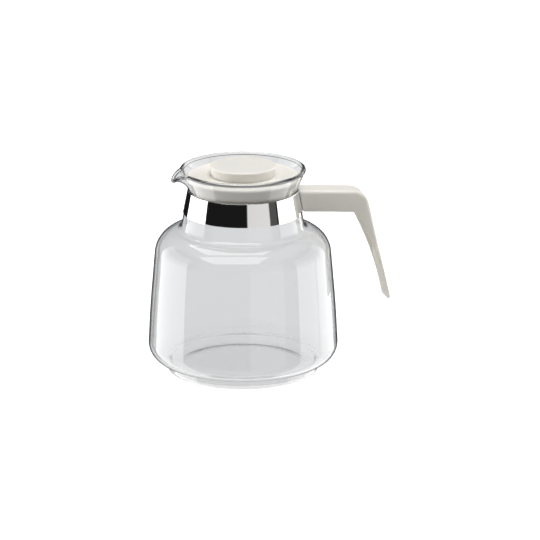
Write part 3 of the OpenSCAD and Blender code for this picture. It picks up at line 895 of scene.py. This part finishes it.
class LidShape:
    """Heights and radii that the lid and its knob share."""

    cone_step = 0.0006
    step_round = 0.0005
    inner_round = 0.0012
    skirt_draft = 0.0004
    spigot_t = 0.0016
    knob_foot_round = 0.0003
    knob_inner_round = 0.0008
    knob_seat_gap = 0.00005

    def __init__(self, scene):
        self.jug, s = JugShape(scene.server_jug), scene.server_lid
        self.s = s
        self.top = scene.server_jug.rim_z - s.lid_sink
        self.cone_foot = self.top - s.cone_h
        self.skirt_r = self.jug.throat_in[0] - s.skirt_gap
        self.skirt_foot = self.cone_foot - self.cone_step - s.skirt_h
        self.knob_in = s.knob_r - s.knob_waist - s.knob_t
        self.spigot_r = self.knob_in - s.knob_gap

    def cone(self, z, depth):
        """Radius of the lid's cone at a height, and at a depth under its skin."""
        return self.jug.flare_in(z) - (self.s.seat_gap + depth) / self.jug.flare[1]

    def body(self):
        """Half section of the lid: under its top, down the skirt, up its cone and over the spigot."""
        s, t = self.s, self.s.lid_t
        throat = self.jug.throat_in
        skirt_in = self.skirt_r - t
        slope = self.jug.flare[1] / self.jug.flare[0]
        inner_z = throat[1] + (skirt_in - self.cone(throat[1], t)) * slope
        spigot_top = self.top + s.knob_h - s.knob_t - s.knob_gap
        return supported(Path([
            (0, self.top - t),
            (self.cone(self.top - t, t), self.top - t, self.inner_round),
            (skirt_in, inner_z, self.inner_round),
            (skirt_in - self.skirt_draft, self.skirt_foot, self.step_round),
            (self.skirt_r - self.skirt_draft, self.skirt_foot, self.step_round),
            (self.skirt_r, self.cone_foot - self.cone_step, self.step_round),
            (self.cone(self.cone_foot, 0), self.cone_foot, self.step_round),
            (self.cone(self.top, 0), self.top, s.lid_round),
            (self.spigot_r, self.top),
            (self.spigot_r, spigot_top),
            (self.spigot_r - self.spigot_t, spigot_top),
            (self.spigot_r - self.spigot_t, self.top),
            (0, self.top),
        ]).line())

    def knob(self):
        """Half section of the knob: a shallow cap that is wider at its top."""
        s = self.s
        top, foot = self.top + s.knob_h, self.top + self.knob_seat_gap
        return supported(Path([
            (0, top - s.knob_t),
            (self.knob_in, top - s.knob_t, self.knob_inner_round),
            (self.knob_in, foot),
            (s.knob_r - s.knob_waist, foot, self.knob_foot_round),
            (s.knob_r, top, s.knob_round),
            (0, top),
        ]).line())


class SERVER_OT_lid(bpy.types.Operator):
    """Makes the drop-in lid and its knob"""
    bl_idname = "server.lid"
    bl_label = "Lid and knob"

    def execute(self, context):
        shape = LidShape(context.scene)
        plastic = finish_of("warm white plastic", warm_plastic)
        body = make_object("lid", *turned_solid(shape.body(), columns=240), plastic)
        finished(body, "lid", "warm_white_plastic", "lid_body")
        knob = make_object("knob", *turned_solid(shape.knob()), plastic)
        finished(knob, "lid", "warm_white_plastic", "lid_knob")
        return {"FINISHED"}


class SERVER_OT_clamp(bpy.types.Operator):
    """Gives the clamp's screw and nut their plated finish"""
    bl_idname = "server.clamp"
    bl_label = "Clamp screw and nut"

    def execute(self, context):
        zinc = finish_of("plated zinc", plated_zinc)
        for name in ("clamp_screw", "clamp_nut"):
            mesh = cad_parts[name].data
            mesh.materials.clear()
            mesh.materials.append(zinc)
        return {"FINISHED"}


# Stage

# Studio panels round the object in degrees of azimuth, which is 0 behind the camera and grows to its right:
# from, to, brightness and soft edge
PANELS = (
    (-132, -77, 3.20, 3),
    (9, 54, 0.80, 3),
    (54, 70, 0.085, 3),
    (74, 108, 2.60, 3),
    (108, 146, 3.00, 6),
)
PANEL_HEIGHTS = (-70, 30)
BETWEEN_PANELS = 0.010
# Elevations over which the panels fade and the ceiling and the table come in, and what each ends at
FADE, FADED_SHARE = (2, 22), 0.4
CEILING, CEILING_LIGHT = (25, 60), 0.45
TABLE, TABLE_LIGHT = (-18, -45), 0.75
# Boxes overhead, as ranges of the direction over its height: left, right, back and front
OVERHEAD = (
    (-0.55, 0.27, -0.95, 0.02),
    (-0.95, 0.42, 0.16, 0.95),
)
OVERHEAD_EDGE = 0.06
OVERHEAD_LIGHT = 4.0
# The boxes show where the direction's height is over the first; the second keeps the division off zero
OVERHEAD_FROM, OVERHEAD_LEAST = 0.1, 0.05
# Soft boxes: name, place, width and power
LAMPS = (
    ("soft box above", (0.10, -0.10, 1.25), 0.9, 11.8),
    ("soft box right", (1.15, 0.25, 0.55), 0.7, 6.0),
    ("soft box left", (-1.0, 0.50, 0.12), 0.7, 12.0),
)


def degrees(*values):
    """Degrees as radians."""
    return [math.radians(v) for v in values]


def window(tree, source, low, high, soft):
    """1 where source lies between low and high, with edges as wide as soft."""
    off = calc(tree, "ABSOLUTE", calc(tree, "SUBTRACT", source, (low + high) / 2))
    half = (high - low) / 2
    return ranged(tree, off, (half - soft / 2, half + soft / 2), (1, 0))


def studio_direction(tree, azimuth):
    """A direction as the camera's side has it: to its right, back towards it, and up."""
    turn = node(tree, "ShaderNodeVectorRotate", rotation_type="Z_AXIS", Angle=-azimuth,
                Vector=place_of(tree, "Generated"))
    x, y, z = node(tree, "ShaderNodeSeparateXYZ", Vector=turn.outputs["Vector"]).outputs
    return x, calc(tree, "MULTIPLY", y, -1), z


def studio_light(tree, azimuth):
    """Brightness of the studio by direction: panels round the horizon that fade upwards, boxes overhead, a
    ceiling and a pale table below. The brightest of them counts."""
    x, toward, z = studio_direction(tree, azimuth)
    round_it = calc(tree, "ARCTAN2", x, toward)
    above = calc(tree, "ARCSINE", z)
    fade = ranged(tree, above, degrees(*FADE), (1, FADED_SHARE))
    total = BETWEEN_PANELS
    for start, end, value, soft in PANELS:
        across = window(tree, round_it, *degrees(start, end, soft))
        upright = window(tree, above, *degrees(*PANEL_HEIGHTS, soft * 2))
        shape = calc(tree, "MULTIPLY", across, upright)
        lit = calc(tree, "MULTIPLY", shape, calc(tree, "MULTIPLY", fade, value))
        total = calc(tree, "MAXIMUM", total, lit)
    high = calc(tree, "MAXIMUM", z, OVERHEAD_LEAST)
    over = calc(tree, "MULTIPLY", calc(tree, "GREATER_THAN", z, OVERHEAD_FROM), OVERHEAD_LIGHT)
    for left, right, back, front in OVERHEAD:
        across = window(tree, calc(tree, "DIVIDE", x, high), left, right, OVERHEAD_EDGE)
        along = window(tree, calc(tree, "DIVIDE", toward, high), back, front, OVERHEAD_EDGE)
        box = calc(tree, "MULTIPLY", calc(tree, "MULTIPLY", across, along), over)
        total = calc(tree, "MAXIMUM", total, box)
    ceiling = ranged(tree, above, degrees(*CEILING), (0, CEILING_LIGHT))
    table = ranged(tree, above, degrees(*TABLE), (0, TABLE_LIGHT))
    return calc(tree, "MAXIMUM", calc(tree, "MAXIMUM", total, ceiling), table)


def aimed(obj, back):
    """Turns a camera or a lamp so that it looks against the direction back."""
    obj.rotation_mode = "QUATERNION"
    obj.rotation_quaternion = (-back).to_track_quat("-Z", "Y")


class SERVER_OT_stage(bpy.types.Operator):
    """Sets up the camera, the pale floor and the soft studio light"""
    bl_idname = "server.stage"
    bl_label = "Stage"

    def execute(self, context):
        scene, s = context.scene, context.scene.server_stage
        self.camera(scene, s)
        self.world(scene, s)
        self.floor(scene)
        self.lamps(scene, s)
        scene.view_settings.view_transform = "Standard"
        return {"FINISHED"}

    def camera(self, scene, s):
        """Camera on a sphere round the aim point, moved aside together with it."""
        a, e = s.azimuth, s.elevation
        back = Vector((math.sin(a) * math.cos(e), -math.cos(a) * math.cos(e), math.sin(e)))
        aside = Vector((math.cos(a), math.sin(a), 0)) * s.aim_right
        data = bpy.data.cameras.new("camera")
        data.lens = s.lens
        data.clip_start, data.clip_end = 0.1, 50
        cam = bpy.data.objects.new("camera", data)
        cam.location = Vector((0, 0, s.aim_z)) + aside + back * s.distance
        aimed(cam, back)
        scene.collection.objects.link(cam)
        scene.camera = cam

    def world(self, scene, s):
        """White to the camera, a screen and flags through glass, the studio's panels in reflections, and a
        share of them as light. A trapped ray finds it pale."""
        soft_share, soft_least, trapped_light = 0.29, 0.06, 0.95
        world = bpy.data.worlds.new("studio")
        world.use_nodes = True
        scene.world = world
        tree = world.node_tree
        light = studio_light(tree, s.azimuth)
        path = node(tree, "ShaderNodeLightPath").outputs
        soft = calc(tree, "MULTIPLY_ADD", calc(tree, "MINIMUM", light, 1), soft_share, soft_least)
        value = calc(tree, "MULTIPLY", soft, s.sky)
        trapped = calc(tree, "GREATER_THAN", path["Ray Depth"], TRAPPED)
        for ray, seen in (
            (path["Is Glossy Ray"], light),
            (path["Is Transmission Ray"], self.behind_glass(tree, s.azimuth)),
            (path["Is Camera Ray"], 1),
            (trapped, trapped_light),
        ):
            mix = node(tree, "ShaderNodeMix", data_type="FLOAT", Factor=ray, A=value, B=seen)
            value = mix.outputs["Result"]
        feed(tree.nodes["Background"], Color=value)

    def behind_glass(self, tree, azimuth):
        """What the glass shows past the floor: a white screen behind, dark flags to both sides of it."""
        flag_start, flag_end, flag_edge = degrees(62, 125, 12)
        flag_top, flag_dark = (0.6, 0.8), 0.96
        x, toward, z = studio_direction(tree, azimuth)
        aside = calc(tree, "ABSOLUTE", calc(tree, "ARCTAN2", x, toward))
        flags = window(tree, aside, flag_start, flag_end, flag_edge)
        darkness = calc(tree, "MULTIPLY", flags, ranged(tree, z, flag_top, (flag_dark, 0)))
        return calc(tree, "SUBTRACT", 1, darkness)

    def floor(self, scene, radius=3, sunk=0.00005):
        """A broad pale disc a hair under the foot: white to the camera, pale through glass, and unseen in
        reflections, which show the studio."""
        glow_reach, glow_range = (0.3, 0.9), (0.48, 1)
        glass_share, glass_light = 0.85, 0.96
        rim = circle(0, 0, radius, steps=128)
        mesh = bpy.data.meshes.new("floor")
        mesh.from_pydata(np.c_[rim, np.full(len(rim), -sunk)].tolist(), [], [list(range(len(rim)))])
        mat, tree, shader, out = blank("floor")
        path = node(tree, "ShaderNodeLightPath").outputs
        reach = node(tree, "ShaderNodeVectorMath", operation="LENGTH", Vector=place_of(tree, "Object"))
        glow = ranged(tree, reach.outputs["Value"], glow_reach, glow_range)
        seen = calc(tree, "MULTIPLY", path["Is Camera Ray"], glow)
        feed(shader, Base_Color=(*scene.server_finishes.floor, 1), Roughness=0.8, Specular_IOR_Level=0,
             Emission_Color=(1, 1, 1, 1), Emission_Strength=seen)
        pale = node(tree, "ShaderNodeEmission", Strength=glass_light)
        mixed(tree, out, calc(tree, "MULTIPLY", path["Is Transmission Ray"], glass_share), shader, pale)
        mesh.materials.append(mat)
        obj = bpy.data.objects.new("floor", mesh)
        obj.visible_glossy = False
        scene.collection.objects.link(obj)

    def lamps(self, scene, s):
        """Soft boxes that light the object; in reflections the panels stand for them."""
        for name, place, size, energy in LAMPS:
            data = bpy.data.lights.new(name, "AREA")
            data.shape, data.size, data.energy = "DISK", size, energy * s.sky
            lamp = bpy.data.objects.new(name, data)
            lamp.location = place
            aimed(lamp, Vector(place))
            lamp.visible_glossy = lamp.visible_camera = lamp.visible_transmission = False
            scene.collection.objects.link(lamp)


class SERVER_PT_panel(bpy.types.Panel):
    """Lists the pieces and the sizes of the coffee server"""
    bl_idname = "SERVER_PT_panel"
    bl_label = "Coffee server"
    bl_space_type = "VIEW_3D"
    bl_region_type = "UI"
    bl_category = "Coffee server"

    def draw(self, context):
        layout = self.layout
        for step in STEPS:
            layout.operator(step.bl_idname)
        for name, group in GROUPS.items():
            box = layout.box()
            box.label(text=group.__doc__)
            settings = getattr(context.scene, name)
            for key in group.__annotations__:
                box.prop(settings, key)


STEPS = (SERVER_OT_jug, SERVER_OT_band, SERVER_OT_handle, SERVER_OT_clamp, SERVER_OT_lid, SERVER_OT_stage)
GROUPS = {
    "server_jug": JugSizes,
    "server_band": BandSizes,
    "server_handle": HandleSizes,
    "server_lid": LidSizes,
    "server_finishes": Finishes,
    "server_stage": StageSettings,
}


def register():
    """Registers the groups of sizes, the operators and the panel."""
    for group in GROUPS.values():
        bpy.utils.register_class(group)
    for name, group in GROUPS.items():
        setattr(bpy.types.Scene, name, bpy.props.PointerProperty(type=group))
    for cls in (*STEPS, SERVER_PT_panel):
        bpy.utils.register_class(cls)


def unregister():
    """Takes back what register did, in the opposite order."""
    for cls in reversed((*STEPS, SERVER_PT_panel)):
        bpy.utils.unregister_class(cls)
    for name in GROUPS:
        delattr(bpy.types.Scene, name)
    for group in reversed(GROUPS.values()):
        bpy.utils.unregister_class(group)


def main():
    """Builds every piece and the stage."""
    register()
    bpy.ops.server.jug()
    bpy.ops.server.band()
    bpy.ops.server.handle()
    bpy.ops.server.clamp()
    bpy.ops.server.lid()
    bpy.ops.server.stage()


if __name__ == "__main__":
    main()
